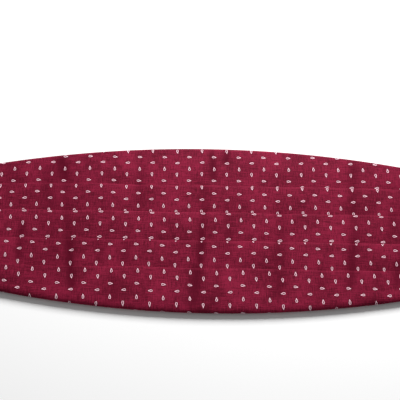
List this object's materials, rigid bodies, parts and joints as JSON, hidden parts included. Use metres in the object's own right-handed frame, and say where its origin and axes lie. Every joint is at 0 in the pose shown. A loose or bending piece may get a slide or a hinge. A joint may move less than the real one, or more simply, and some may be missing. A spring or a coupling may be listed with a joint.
{
  "type": "pleated cummerbund (waist sash)",
  "caption": "Pleated maroon silk cummerbund lying flat, with knife pleats opening upward, gathered end tabs, webbing straps and a plain buckle.",
  "frame": {"origin": "middle of the panel's back, on the surface that it lies on", "axes": "+X along the sash, +Y towards the upper edge as worn, +Z out of the front"},
  "size_m": [0.9225, 0.1378, 0.0077],
  "materials": {
    "silk": "maroon woven silk with a small pale boteh repeat",
    "webbing": "black ribbed webbing",
    "plastic": "black moulded plastic, satin"
  },
  "bodies": {
    "root": {"pleated_panel": "silk", "end_tab_left": "silk", "end_tab_right": "silk", "strap_left": "webbing", "strap_right": "webbing", "buckle": "plastic"}
  },
  "joints": []
}
